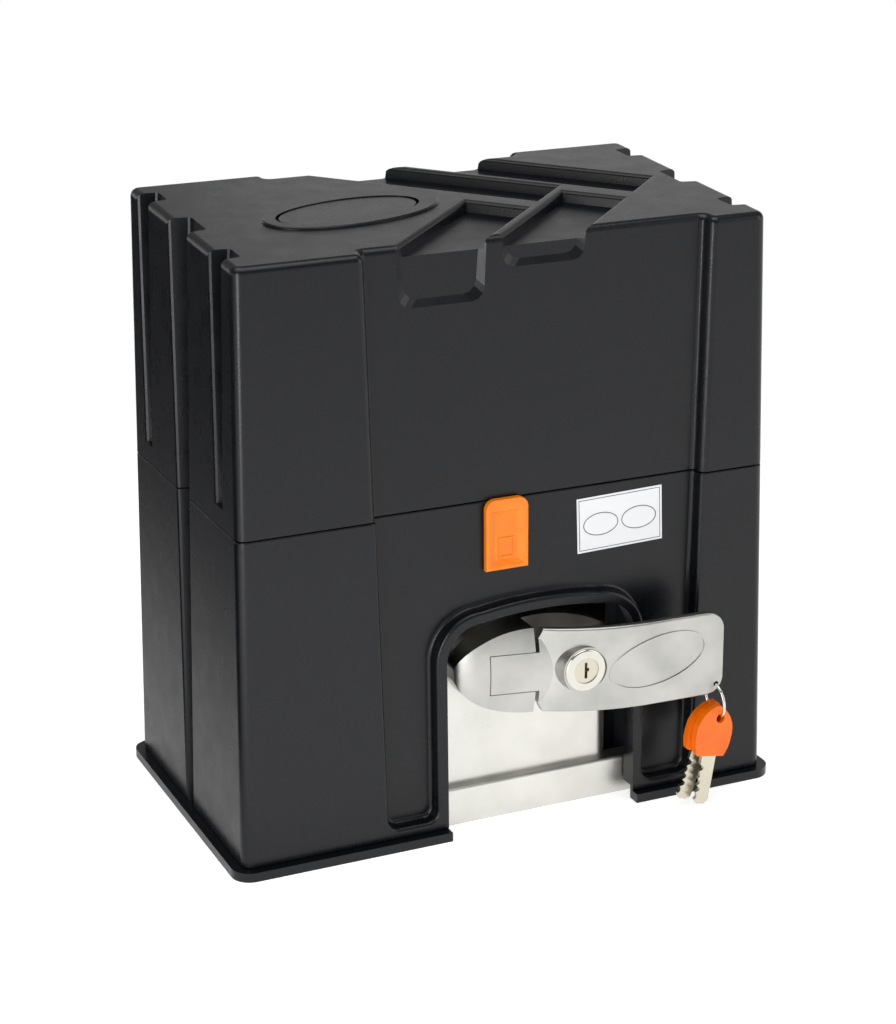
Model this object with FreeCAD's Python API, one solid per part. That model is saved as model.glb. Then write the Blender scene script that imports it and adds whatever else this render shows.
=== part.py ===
import FreeCAD, Part
import math
import os

from FreeCAD import Vector

# Sliding gate motor, in millimetres.
# X runs to the right along the front, Y to the back, Z up; the origin is the middle of the base.

# ---- moulded housing
BODY_WIDTH = 303.2
BODY_DEPTH = 171.0
FRONT_HEIGHT = 316.3
TOP_RISE = 9.0
SIDE_DRAFT = 6.3
END_DRAFT = 3.4
SEAM_HEIGHT = 180.0
SEAM_GAP = 0.7
WALL = 3.0
CORNER_RADIUS = 5.5
TOP_RADIUS = 4.0
FOOT_LIP = 5.0
FOOT_THICKNESS = 5.0

# ---- sunken panels down the front and the back of the housing
PANEL_DEPTH = 8.0
PANEL_FLOOR = 10.5
PANEL_FLARE = 7.0
FRONT_PANEL_X = 17.5
FRONT_PANEL_HALF = 88.5
BACK_PANEL_X = 2.0
BACK_PANEL_HALF = 66.0
PANEL_STEP_DRAFT = 0.5
PANEL_INNER_RADIUS = 2.5
PANEL_OUTER_RADIUS = 4.3
PANEL_LOW_CORNER = 6.0
RIM_RADIUS = 0.8

# ---- arch in the front of the lower cover, and the plain one in its back
ARCH_X = 17.0
ARCH_HALF = 54.5
ARCH_CROWN = 120.0
ARCH_SHOULDER = 20.0
ARCH_CROWN_RADIUS = 215.0
ARCH_BAND = 6.0
BACK_ARCH_X = 17.0
BACK_ARCH_HALF = 40.0
BACK_ARCH_CROWN = 104.0

# ---- diagonal channels in the lid
CHANNEL_AXIS_Y = 4.5
CHANNEL_STARTS = (20.2, 76.2)
CHANNEL_WIDTH = 47.8
CHANNEL_DEPTH = 6.0
CHANNEL_DRAFT = 1.0
CHANNEL_OVERLAP = 21.0
CREST_RADIUS = 2.2
POCKET_DEPTH = 2.2
POCKET_SLOPE = 3.2
POCKET_TAPER = 2.8
POCKET_HEIGHTS = (31.0, 16.0)
POCKET_CORNER = 7.0

# ---- tapered grooves down the sides
GROOVE_SPACING = 56.5
GROOVE_Y = 0.5
GROOVE_DEPTH = 12.0
GROOVE_END_DEPTH = 5.0
GROOVE_ROUND = 1.6
MIDDLE_GROOVE_TOP = 15.0
MIDDLE_GROOVE_SEAM = 9.0
MIDDLE_GROOVE_FOOT = 4.5
SIDE_GROOVE_TOP = 9.5
SIDE_GROOVE_END = 4.6
SIDE_GROOVE_FLOOR = 191.0

# ---- oval badge on the lid
BADGE_X = -56.0
BADGE_Y = -6.0
BADGE_TURN = 12.0
BADGE_RIM_LONG = 51.5
BADGE_RIM_SHORT = 26.0
BADGE_RIM_SHIFT = 2.2
BADGE_LONG = 40.0
BADGE_SHORT = 19.3
BADGE_RISE = 1.3
BADGE_THICKNESS = 2.0
BADGE_GAP = 0.5
BADGE_END_GAP = 2.0
BADGE_SINK = 0.5

# ---- lid latch
LATCH_X = -1.0
LATCH_WIDTH = 23.9
LATCH_TOP = 181.1
LATCH_HEIGHT = 38.2
LATCH_THICKNESS = 3.4
LATCH_CORNER = 5.5
LATCH_DISH = 1.7
LATCH_TRAVEL = 8.0
LATCH_GAP = 0.5
LATCH_STEM_WIDTH = 10.0
LATCH_STEM_HEIGHT = 8.0
LATCH_BOLT_RISE = 6.0

# ---- gearbox casting and its foot
FOOT_LONG = 236.0
FOOT_DEEP = 132.0
FOOT_PLATE = 8.0
FOOT_CORNER = 12.0
RAIL_FRONT = -73.0
RAIL_HEIGHT = 21.0
RAIL_LONG = 176.0
GEARCASE_FRONT = -68.0
GEARCASE_BACK = 6.0
GEARCASE_LEFT = -54.0
GEARCASE_RIGHT = 65.0
GEARCASE_ARC = 80.0
GEARCASE_ARC_X = 20.0
GEARCASE_ARC_Z = 30.0
GEARCASE_WALL = 6.0
FIXING_SPACING_X = 200.0
FIXING_SPACING_Y = 100.0
FIXING_RADIUS = 5.5
CABLE_X = 84.0
CABLE_Y = 34.0
CABLE_RADIUS = 14.0
LUG_X = 106.0
LUG_Y = 26.0
LUG_WIDTH = 14.0
LUG_THICKNESS = 5.0
LUG_SCREW_X = 112.0
LUG_SCREW_RADIUS = 2.5

# ---- worm drive
MODULE = 2.5
CROWN_TEETH = 28
WORM_PITCH_RADIUS = 10.0
CROWN_X = 17.0
CROWN_Z = 58.0
CROWN_Y = -14.0
CROWN_FACE = 15.0
TOOTH_SLACK = 0.55
SHAFT_RADIUS = 10.0
RUNNING_FIT = 0.05
BEARING_RADIUS = 21.0
BEARING_WIDTH = 12.0
PINION_TEETH = 17
PINION_MODULE = 4.0
PINION_FACE = 20.0
PINION_Y = 94.0
HUB_RADIUS = 30.0

# ---- motor
MOTOR_RADIUS = 55.0
MOTOR_BASE = 124.0
MOTOR_FLANGE = 7.0
MOTOR_HEIGHT = 96.0
MOTOR_SHELL = 4.0
SHIELD_HEIGHT = 16.0
ROTOR_RADIUS = 29.0
ROTOR_SHAFT_RADIUS = 6.0
AIR_GAP = 0.6
MOTOR_BEARING_RADIUS = 14.0
MOTOR_BEARING_WIDTH = 9.0
FIN_COUNT = 28
FIN_DEPTH = 4.0
CAP_RADIUS = 18.0
CAP_HEIGHT = 12.0
BOLT_CIRCLE = 42.0
BOLT_RADIUS = 2.5
BOLT_HEAD = 4.6

# ---- control unit
BOARD_LEFT = 42.0
BOARD_RIGHT = 126.0
BOARD_LOW = 118.0
BOARD_HIGH = 258.0
BOARD_Y = -50.0
BOARD_THICKNESS = 1.6
BRACKET_THICKNESS = 3.0
TERMINAL_PITCH = 7.6
TRANSFORMER_LEFT = -94.0
CAPACITOR_X = -73.0
CAPACITOR_Y = 42.0
CAPACITOR_RADIUS = 17.5
CAPACITOR_HEIGHT = 70.0

# ---- manual release
LEVER_Z = 87.6
HINGE_X = 0.0
HINGE_Y = -85.8
HINGE_PIN_RADIUS = 1.5
HINGE_PIN_HALF = 14.0
FORK_HALF = 23.6
FORK_END = 10.2
FORK_NOSE = -31.0
FORK_RADIUS = 75.0
TONGUE_HALF = 10.7
TONGUE_END = -13.6
TONGUE_BACK = -79.0
SLOT_GAP = 0.4
LEVER_HALF = 23.3
LEVER_LEFT = 12.2
LEVER_FRONT_LEFT = -89.0
LEVER_CREST = -91.2
LEVER_CREST_SLOPE = -0.19
LEVER_RIGHT = 112.6
LEVER_FRONT_RIGHT = -107.8
LEVER_THICKNESS = 5.0
LEVER_CORNER = 10.0
LEVER_BEVEL = 2.5
DOME_HALF = 17.6
OVAL_X = 74.3
OVAL_Z = 88.9
OVAL_LONG = 28.3
OVAL_SHORT = 13.9
OVAL_TILT = 13.3
OVAL_RIM = 1.5
OVAL_RISE = 0.6
LOCK_X = 33.7
LOCK_Z = 88.6
LOCK_FRONT = -102.4
BEZEL_RADIUS = 11.7
BARREL_RADIUS = 9.4
BARREL_BACK = -82.0
PLUG_RADIUS = 7.1
CAM_LONG = 9.0
CAM_WIDTH = 9.0
CAM_THICKNESS = 2.5

# ---- keys
RING_X = 108.4
RING_Y = -105.2
RING_TOP = 70.1
RING_RADIUS = 9.9
RING_WIRE = 0.8
RING_LEAN = 6.0
RING_HOLE = 1.4
KEY_PITCH = 5.2
KEY_BOW_THICKNESS = 4.6
KEY_BLADE_THICKNESS = 2.2
KEY_BOW_HEIGHT = 29.0
KEY_BOW_WIDTH = 21.5
KEY_BLADE_LONG = 28.0
KEY_BLADE_WIDTH = 8.5
KEY_EYE_RADIUS = 2.5
KEY_EYE_DROP = 7.5
KEY_EYE_SIDE = 2.2
FRONT_KEY_LEAN = 9.5
BACK_KEY_LEAN = 19.0

TOP_SLOPE = math.degrees(math.atan2(TOP_RISE, BODY_DEPTH - 2 * END_DRAFT))
TOP_MEAN = FRONT_HEIGHT + TOP_RISE / 2
TALL = TOP_MEAN + 2 * TOP_RISE
RING_SIDE = math.sin(math.radians(RING_LEAN))
RING_DOWN = math.cos(math.radians(RING_LEAN))
EYE_X = RING_X + 2 * RING_RADIUS * RING_SIDE
EYE_Z = RING_TOP - 2 * RING_RADIUS * RING_DOWN
WORM_X = CROWN_X - MODULE * CROWN_TEETH / 2 - WORM_PITCH_RADIUS
UP = Vector(0, 0, 1)
ALONG_Y = Vector(0, 1, 0)


# ------------------------------------------------------------------ small helpers

def box(x0, x1, y0, y1, z0, z1):
    """Box between two corners."""
    return Part.makeBox(x1 - x0, y1 - y0, z1 - z0, Vector(x0, y0, z0))


def disc(radius, height, x, y, z, axis=UP):
    """Cylinder that starts at x, y, z and runs along the axis."""
    return Part.makeCylinder(radius, height, Vector(x, y, z), axis)


def tube(outer, inner, height, x, y, z, axis=UP):
    """Cylinder with a bore."""
    return disc(outer, height, x, y, z, axis).cut(disc(inner, height, x, y, z, axis))


def polygon(points):
    """Closed wire through the points."""
    return Part.makePolygon(points + [points[0]])


def prism(points, direction):
    """Solid swept from a flat polygon."""
    return Part.Face(polygon(points)).extrude(direction)


def loft(wires, ruled=True):
    """Solid through a row of closed wires."""
    return Part.makeLoft(wires, True, ruled)


def rounded_rectangle(half_x, half_y, radius, centre_x, centre_y, z):
    """Closed wire in a level plane, with round corners."""
    edges = []
    corners = ((1, 1), (-1, 1), (-1, -1), (1, -1))
    last = None
    for quarter, (sx, sy) in enumerate(corners):
        cx = centre_x + sx * (half_x - radius)
        cy = centre_y + sy * (half_y - radius)
        start = math.radians(90 * quarter)
        points = []
        for step in range(3):
            angle = start + math.radians(45 * step)
            points.append(Vector(cx + radius * math.cos(angle), cy + radius * math.sin(angle), z))
        if last is not None:
            edges.append(Part.LineSegment(last, points[0]).toShape())
        edges.append(Part.Arc(*points).toShape())
        last = points[2]
        if quarter == 0:
            first = points[0]
    edges.append(Part.LineSegment(last, first).toShape())
    return Part.Wire(edges)


def stand_up(shape, y):
    """Turns a shape drawn on the level plane to face the front, at the given y."""
    turned = shape.copy()
    turned.rotate(Vector(0, 0, 0), Vector(1, 0, 0), 90)
    turned.translate(Vector(0, y, 0))
    return turned


def turned(shape, x, y, z, axis, angle):
    """Copy of a shape, turned about an axis through a point."""
    copy = shape.copy()
    copy.rotate(Vector(x, y, z), axis, angle)
    return copy


def rounded(shape, radius, wanted):
    """Fillets the edges that the test picks."""
    edges = [edge for edge in shape.Edges if wanted(edge)]
    return shape.makeFillet(radius, edges)


def joined(solids):
    """One solid from several that touch."""
    whole = solids[0]
    for solid in solids[1:]:
        whole = whole.fuse(solid)
    return whole.removeSplitter()


# ------------------------------------------------------------------ walls of the housing

def half_width(z):
    """Half the housing's width at a height, with its draft."""
    return BODY_WIDTH / 2 - SIDE_DRAFT * z / TOP_MEAN


def half_depth(z):
    """Half the housing's depth at a height, with its draft."""
    return BODY_DEPTH / 2 - END_DRAFT * z / TOP_MEAN


def panel_y(z):
    """Depth of the sunken front panel's face at a height."""
    return PANEL_DEPTH - half_depth(z)


def top_z(y, drop=0.0):
    """Height of the lid's sloping top, or of a plane parallel to it."""
    return TOP_MEAN - drop + y * math.tan(math.radians(TOP_SLOPE))


def tapered_block(inset, z_low, z_high):
    """The housing's drafted block, with its walls moved inwards by the inset."""
    radius = max(CORNER_RADIUS - inset, 1.0)
    wires = []
    for z in (z_low, z_high):
        wires.append(rounded_rectangle(half_width(z) - inset, half_depth(z) - inset, radius, 0, 0, z))
    return loft(wires)


def above_top(drop):
    """Everything above the lid's top, lowered by the drop."""
    slab = box(-BODY_WIDTH, BODY_WIDTH, -BODY_WIDTH, BODY_WIDTH, 0, BODY_WIDTH)
    slab.rotate(Vector(0, 0, 0), Vector(1, 0, 0), TOP_SLOPE)
    slab.translate(Vector(0, 0, TOP_MEAN - drop))
    return slab


def panel_recess(side, centre, half, grow):
    """Sunken panel that widens upwards; side is -1 at the front and 1 at the back."""
    wires = []
    for z in (PANEL_FLOOR - grow, TALL):
        reach = half + PANEL_FLARE * z / TOP_MEAN + grow
        inner = side * (half_depth(z) - PANEL_DEPTH - grow)
        outer = side * (half_depth(z) + PANEL_DEPTH)
        draft = PANEL_STEP_DRAFT
        points = [
            Vector(centre - reach + draft, inner, z),
            Vector(centre + reach - draft, inner, z),
            Vector(centre + reach + draft, outer, z),
            Vector(centre - reach - draft, outer, z),
        ]
        wires.append(polygon(points))
    return loft(wires)


def channel_outline(start, side, offset, drop):
    """Outline of a diagonal channel on a plane parallel to the lid's top."""
    slant = offset * math.sqrt(2)
    near = start - slant
    far = start + CHANNEL_WIDTH + slant
    if side < 0:
        end = start - CHANNEL_OVERLAP + slant
    else:
        end = start + CHANNEL_WIDTH + slant
    open_end = BODY_DEPTH
    corners = [
        (near - open_end, -open_end),
        ((near + end) / 2, (end - near) / 2),
        ((far + end) / 2, (end - far) / 2),
        (far - open_end, -open_end),
    ]
    points = []
    for x, forward in corners:
        y = CHANNEL_AXIS_Y - side * forward
        points.append(Vector(x, y, top_z(y, drop)))
    return polygon(points)


def crest_levels():
    """Offset and drop of a bank's section: floor, steep bank and a round crest."""
    steep = math.atan2(CHANNEL_DEPTH, CHANNEL_DRAFT)
    reach = CREST_RADIUS * math.tan(steep / 2)
    levels = [(-CHANNEL_DRAFT, CHANNEL_DEPTH)]
    for step in range(5):
        angle = steep * (1 - step / 4)
        offset = reach - CREST_RADIUS * math.sin(angle)
        levels.append((offset, CREST_RADIUS * (1 - math.cos(angle))))
    return levels


def channel(start, side, grow):
    """Diagonal channel with steep banks and round crests; it runs out of the lid at one face."""
    above = 2 * CHANNEL_DEPTH
    if grow > 0:
        low = channel_outline(start, side, grow - CHANNEL_DRAFT, CHANNEL_DEPTH + grow)
        high = channel_outline(start, side, grow + CHANNEL_DRAFT, -above)
        return loft([low, high])
    wires = [channel_outline(start, side, offset, drop) for offset, drop in crest_levels()]
    last = crest_levels()[-1][0]
    wires.append(channel_outline(start, side, last + CHANNEL_DRAFT, -above))
    return loft(wires)


def pocket_outline(half, bottom, top, centre, y):
    """Closed wire of a pocket: it narrows downwards and has round lower corners."""
    points = [Vector(centre + half, y, top), Vector(centre - half, y, top)]
    low = half - POCKET_TAPER
    for side in (-1, 1):
        corner = []
        for step in range(4):
            angle = math.radians(30 * step)
            x = low - POCKET_CORNER * (1 - math.cos(angle))
            z = bottom + POCKET_CORNER * (1 - math.sin(angle))
            corner.append(Vector(centre + side * x, y, z))
        if side > 0:
            corner.reverse()
        points += corner
    return polygon(points)


def pocket(start, height, side, grow):
    """Shallow pocket below a channel's mouth, on the front or back panel."""
    lid_edge = half_depth(FRONT_HEIGHT) - PANEL_DEPTH
    mouth = start - lid_edge + side * CHANNEL_AXIS_Y
    centre = mouth + CHANNEL_WIDTH / 2
    top = top_z(side * lid_edge)
    above = 4 * TOP_RADIUS
    floor_half = CHANNEL_WIDTH / 2 - CHANNEL_DRAFT * math.sqrt(2) + grow
    wires = []
    for depth, spread in ((-2 * POCKET_DEPTH, 3 * POCKET_SLOPE), (POCKET_DEPTH + grow, 0)):
        y = side * (lid_edge - depth)
        bottom = top - height - spread - grow + POCKET_SLOPE
        wires.append(pocket_outline(floor_half + spread, bottom, top + above, centre, y))
    return loft(wires)


def groove(side, y, levels, grow):
    """Tapered groove down a side wall, with round corners; levels are height, half width and depth."""
    wires = []
    for z, half, depth in levels:
        wall = half_width(z)
        section = [
            (-GROOVE_DEPTH, half + GROOVE_ROUND),
            (0.0, half + GROOVE_ROUND),
            (0.3 * GROOVE_ROUND, half + 0.3 * GROOVE_ROUND),
            (GROOVE_ROUND, half),
            (depth - GROOVE_ROUND, 0.87 * half),
            (depth - 0.3 * GROOVE_ROUND, 0.87 * half - 0.3 * GROOVE_ROUND),
            (depth, 0.87 * half - GROOVE_ROUND),
        ]
        if grow > 0:
            section = [(-GROOVE_DEPTH, half + grow), (depth + grow, 0.87 * half + grow)]
        points = [Vector(side * (wall - inwards), y - reach, z) for inwards, reach in section]
        points += [Vector(side * (wall - inwards), y + reach, z) for inwards, reach in reversed(section)]
        wires.append(polygon(points))
    return loft(wires)


def lid_grooves(grow):
    """The three grooves of each side that show on the lid."""
    cutters = []
    seam_depth = (GROOVE_DEPTH + GROOVE_END_DEPTH) / 2
    middle = (
        (SEAM_HEIGHT - WALL, MIDDLE_GROOVE_SEAM, seam_depth),
        (TALL, MIDDLE_GROOVE_TOP, GROOVE_DEPTH),
    )
    outer = (
        (SIDE_GROOVE_FLOOR - grow, SIDE_GROOVE_END, GROOVE_END_DEPTH),
        (TALL, SIDE_GROOVE_TOP, GROOVE_DEPTH),
    )
    for side in (-1, 1):
        cutters.append(groove(side, GROOVE_Y, middle, grow))
        for step in (-1, 1):
            cutters.append(groove(side, GROOVE_Y + step * GROOVE_SPACING, outer, grow))
    return cutters


def foot_grooves(grow):
    """The middle grooves, carried down the lower cover."""
    seam_depth = (GROOVE_DEPTH + GROOVE_END_DEPTH) / 2
    levels = (
        (FOOT_THICKNESS - grow, MIDDLE_GROOVE_FOOT, GROOVE_END_DEPTH),
        (SEAM_HEIGHT + WALL, MIDDLE_GROOVE_SEAM, seam_depth),
    )
    return [groove(side, GROOVE_Y, levels, grow) for side in (-1, 1)]


def panel_recesses(grow):
    """The sunken panels of both faces."""
    front = panel_recess(-1, FRONT_PANEL_X, FRONT_PANEL_HALF, grow)
    back = panel_recess(1, BACK_PANEL_X, BACK_PANEL_HALF, grow)
    return [front, back]


def lid_hollow(inset, z_low):
    """Space inside the lid, with its walls moved inwards by the inset."""
    space = tapered_block(inset, z_low, TALL).cut(above_top(inset))
    cutters = panel_recesses(inset) + lid_grooves(inset)
    for start, height in zip(CHANNEL_STARTS, POCKET_HEIGHTS):
        for side in (-1, 1):
            cutters.append(channel(start, side, inset))
            cutters.append(pocket(start, height, side, inset))
    return space.cut(cutters)


def foot_hollow(inset, z_low, z_high):
    """Space inside the lower cover, with its walls moved inwards by the inset."""
    space = tapered_block(inset, z_low, z_high)
    return space.cut(panel_recesses(inset) + foot_grooves(inset))


# ------------------------------------------------------------------ lid

def badge_outline(long_half, short_half, z, shift=0.0):
    """Oval wire, turned on the lid."""
    oval = Part.Ellipse(Vector(shift, 0, 0), long_half, short_half).toShape()
    wire = Part.Wire([oval])
    wire.rotate(Vector(0, 0, 0), UP, BADGE_TURN)
    wire.rotate(Vector(0, 0, 0), Vector(1, 0, 0), TOP_SLOPE)
    wire.translate(Vector(BADGE_X, BADGE_Y, top_z(BADGE_Y) + z))
    return wire


def badge_block(long_half, short_half, low, high):
    """Oval block square to the lid's top."""
    return loft([badge_outline(long_half, short_half, low), badge_outline(long_half, short_half, high)])


def badge_rim():
    """Low oval pad on the lid, with a round edge."""
    wires = []
    for inset, rise in ((0, -WALL), (0, 0.4), (0.35, 0.9), (1.0, BADGE_RISE)):
        wires.append(badge_outline(BADGE_RIM_LONG - inset, BADGE_RIM_SHORT - inset, rise, BADGE_RIM_SHIFT))
    return loft(wires)


def upper_cover():
    """Lid: a drafted shell with sunken panels, side grooves and diagonal channels."""
    z_low = SEAM_HEIGHT + SEAM_GAP
    shell = tapered_block(0, z_low, TALL).cut(above_top(0))
    shell = shell.cut(panel_recesses(0))

    def upright(edge, depth):
        middle = edge.CenterOfMass
        tall = edge.BoundBox.ZLength > TOP_MEAN / 3
        inside = abs(middle.x) < half_width(0) - 2 * CORNER_RADIUS
        return tall and inside and abs(abs(middle.y) + depth - half_depth(middle.z)) < 1

    def inner_corner(edge):
        return upright(edge, PANEL_DEPTH)

    def outer_corner(edge):
        return upright(edge, 0)

    shell = rounded(shell, PANEL_INNER_RADIUS, inner_corner)
    shell = rounded(shell, PANEL_OUTER_RADIUS, outer_corner)

    def top_rim(edge):
        middle = edge.CenterOfMass
        return abs(middle.z - top_z(middle.y)) < 0.3 and edge.BoundBox.ZMin > SEAM_HEIGHT + WALL

    shell = rounded(shell, TOP_RADIUS, top_rim)
    cutters = lid_grooves(0)
    for start, height in zip(CHANNEL_STARTS, POCKET_HEIGHTS):
        for side in (-1, 1):
            cutters.append(channel(start, side, 0))
            cutters.append(pocket(start, height, side, 0))
    shell = shell.cut(cutters)
    shell = shell.fuse(badge_rim())
    shell = shell.cut(lid_hollow(WALL, z_low - 1))
    seat_low = BADGE_RISE - BADGE_SINK - BADGE_THICKNESS
    seat = badge_block(BADGE_LONG + BADGE_END_GAP, BADGE_SHORT + BADGE_GAP, seat_low, 2 * WALL)
    return shell.cut(seat).removeSplitter()


def badge_insert():
    """Bare oval plate that sits just below the lid's rim."""
    top = BADGE_RISE - BADGE_SINK
    return badge_block(BADGE_LONG, BADGE_SHORT, top - BADGE_THICKNESS, top)


# ------------------------------------------------------------------ lower cover

def arch_outline(half, crown, shoulder, centre_x, y):
    """Closed arch wire on a plane that faces the front: straight legs, round shoulders, flat crown arc."""
    drop = 0.5
    left = centre_x - half
    right = centre_x + half
    reach = half - shoulder
    sag = reach * reach / (2 * ARCH_CROWN_RADIUS)
    spring = crown - sag - shoulder
    low = -FOOT_THICKNESS
    bend = shoulder * (1 - math.sqrt(drop))
    shoulder_top = crown - sag
    edges = [
        Part.LineSegment(Vector(right, y, low), Vector(left, y, low)),
        Part.LineSegment(Vector(left, y, low), Vector(left, y, spring)),
        Part.Arc(
            Vector(left, y, spring),
            Vector(left + bend, y, shoulder_top - bend),
            Vector(left + shoulder, y, shoulder_top),
        ),
        Part.Arc(
            Vector(left + shoulder, y, shoulder_top),
            Vector(centre_x, y, crown),
            Vector(right - shoulder, y, shoulder_top),
        ),
        Part.Arc(
            Vector(right - shoulder, y, shoulder_top),
            Vector(right - bend, y, shoulder_top - bend),
            Vector(right, y, spring),
        ),
        Part.LineSegment(Vector(right, y, spring), Vector(right, y, low)),
    ]
    return Part.Wire([edge.toShape() for edge in edges])


def arch_prism(half, crown, shoulder, centre_x, y0, y1):
    """Arch-shaped block between two depths."""
    face = Part.Face(arch_outline(half, crown, shoulder, centre_x, y0))
    return face.extrude(Vector(0, y1 - y0, 0))


def lower_cover():
    """Lower cover: a drafted sleeve with a foot flange, a framed arch and a locating lip."""
    z_high = SEAM_HEIGHT
    front = -BODY_DEPTH / 2
    sleeve = tapered_block(0, FOOT_THICKNESS, z_high)
    recess = panel_recess(-1, FRONT_PANEL_X, FRONT_PANEL_HALF, 0)
    frame = arch_prism(
        ARCH_HALF + ARCH_BAND, ARCH_CROWN + ARCH_BAND, ARCH_SHOULDER + ARCH_BAND, ARCH_X, 2 * front, 0
    )
    recess = recess.cut(frame)
    back_recess = panel_recess(1, BACK_PANEL_X, BACK_PANEL_HALF, 0)
    sleeve = sleeve.cut([recess, back_recess])

    def low_corner(edge):
        span = edge.BoundBox
        level = span.YLength > PANEL_DEPTH / 2 and span.XLength < 1.5 and span.ZLength < 1.5
        return level and abs(span.ZMin - PANEL_FLOOR) < 1

    def step_edge(edge):
        middle = edge.CenterOfMass
        inside = abs(middle.x) < half_width(0) - 2 * CORNER_RADIUS
        return inside and FOOT_THICKNESS + 1 < middle.z < z_high - 1 and edge.Length > 2

    def rim(z):
        return lambda edge: abs(edge.BoundBox.ZMin - z) < 0.01 and edge.BoundBox.ZLength < 0.01

    sleeve = rounded(sleeve, PANEL_LOW_CORNER, low_corner)
    sleeve = rounded(sleeve, 2.0, step_edge)
    sleeve = rounded(sleeve, RIM_RADIUS, rim(z_high))
    sleeve = rounded(sleeve, RIM_RADIUS, rim(FOOT_THICKNESS))
    flange = Part.Face(
        rounded_rectangle(half_width(0) + FOOT_LIP, half_depth(0) + FOOT_LIP, CORNER_RADIUS + FOOT_LIP, 0, 0, 0)
    ).extrude(Vector(0, 0, FOOT_THICKNESS))
    sleeve = sleeve.cut(foot_grooves(0)).fuse(flange)
    sleeve = sleeve.cut(foot_hollow(WALL, -1, z_high + 1))
    step = 0.4
    lip_low = foot_hollow(WALL - 0.01, z_high - 2 * WALL, z_high)
    lip_high = foot_hollow(WALL + step, z_high - WALL, z_high + WALL)
    lip_inside = foot_hollow(WALL + step + 1.6, z_high - 3 * WALL, z_high + 2 * WALL)
    lip = lip_low.fuse(lip_high).cut(lip_inside)
    sleeve = sleeve.fuse([lip] + [cover_lug(side, y) for side, y in lug_places()])
    opening = arch_prism(ARCH_HALF, ARCH_CROWN, ARCH_SHOULDER, ARCH_X, 2 * front, 0)
    back_opening = arch_prism(BACK_ARCH_HALF, BACK_ARCH_CROWN, ARCH_SHOULDER, BACK_ARCH_X, 0, -2 * front)
    stem_half = LATCH_STEM_WIDTH / 2 + LATCH_GAP
    stem_top = LATCH_TOP - LATCH_STEM_HEIGHT + LATCH_GAP
    stem_low = stem_top - LATCH_STEM_HEIGHT - LATCH_TRAVEL - 2 * LATCH_GAP
    slot = box(LATCH_X - stem_half, LATCH_X + stem_half, 2 * front, -60, stem_low, stem_top)
    notch = box(LATCH_X - stem_half - 1, LATCH_X + stem_half + 1, panel_y(z_high) + WALL, -60, stem_low, z_high + 2 * WALL)
    screw_holes = []
    for side, y in lug_places():
        screw_holes.append(disc(LUG_SCREW_RADIUS, 4 * FOOT_PLATE, side * LUG_SCREW_X, y, 0))
    return sleeve.cut([opening, back_opening, slot, notch] + screw_holes).removeSplitter()


def lug_places():
    """Side and depth of each of the four lugs."""
    return [(side, y) for side in (-1, 1) for y in (-LUG_Y, LUG_Y)]


def cover_lug(side, y):
    """Lug inside the lower cover that rests on the foot plate, with its gusset."""
    wall_x = half_width(FOOT_PLATE) - WALL / 2
    low, high = sorted((side * LUG_X, side * wall_x))
    top = FOOT_PLATE + LUG_THICKNESS
    tongue = box(low, high, y - LUG_WIDTH / 2, y + LUG_WIDTH / 2, FOOT_PLATE, top)
    rise = 4 * LUG_THICKNESS
    corners = [
        Vector(side * wall_x, y - WALL / 2, top),
        Vector(side * (wall_x - rise), y - WALL / 2, top),
        Vector(side * (wall_x - 0.3), y - WALL / 2, top + rise),
    ]
    return tongue.fuse(prism(corners, Vector(0, WALL, 0)))


def cover_screws():
    """Four screws that hold the lower cover's lugs down on the foot plate."""
    screws = []
    for side, y in lug_places():
        x = side * LUG_SCREW_X
        top = FOOT_PLATE + LUG_THICKNESS
        head = disc(2 * LUG_SCREW_RADIUS, 3, x, y, top)
        cross = box(x - 2.6, x + 2.6, y - 0.5, y + 0.5, top + 1.6, top + 4)
        cross = cross.fuse(box(x - 0.5, x + 0.5, y - 2.6, y + 2.6, top + 1.6, top + 4))
        shank = disc(LUG_SCREW_RADIUS, top - 2, x, y, 2)
        screws.append(head.fuse(shank).cut(cross))
    return Part.makeCompound(screws)


# ------------------------------------------------------------------ latch

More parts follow.
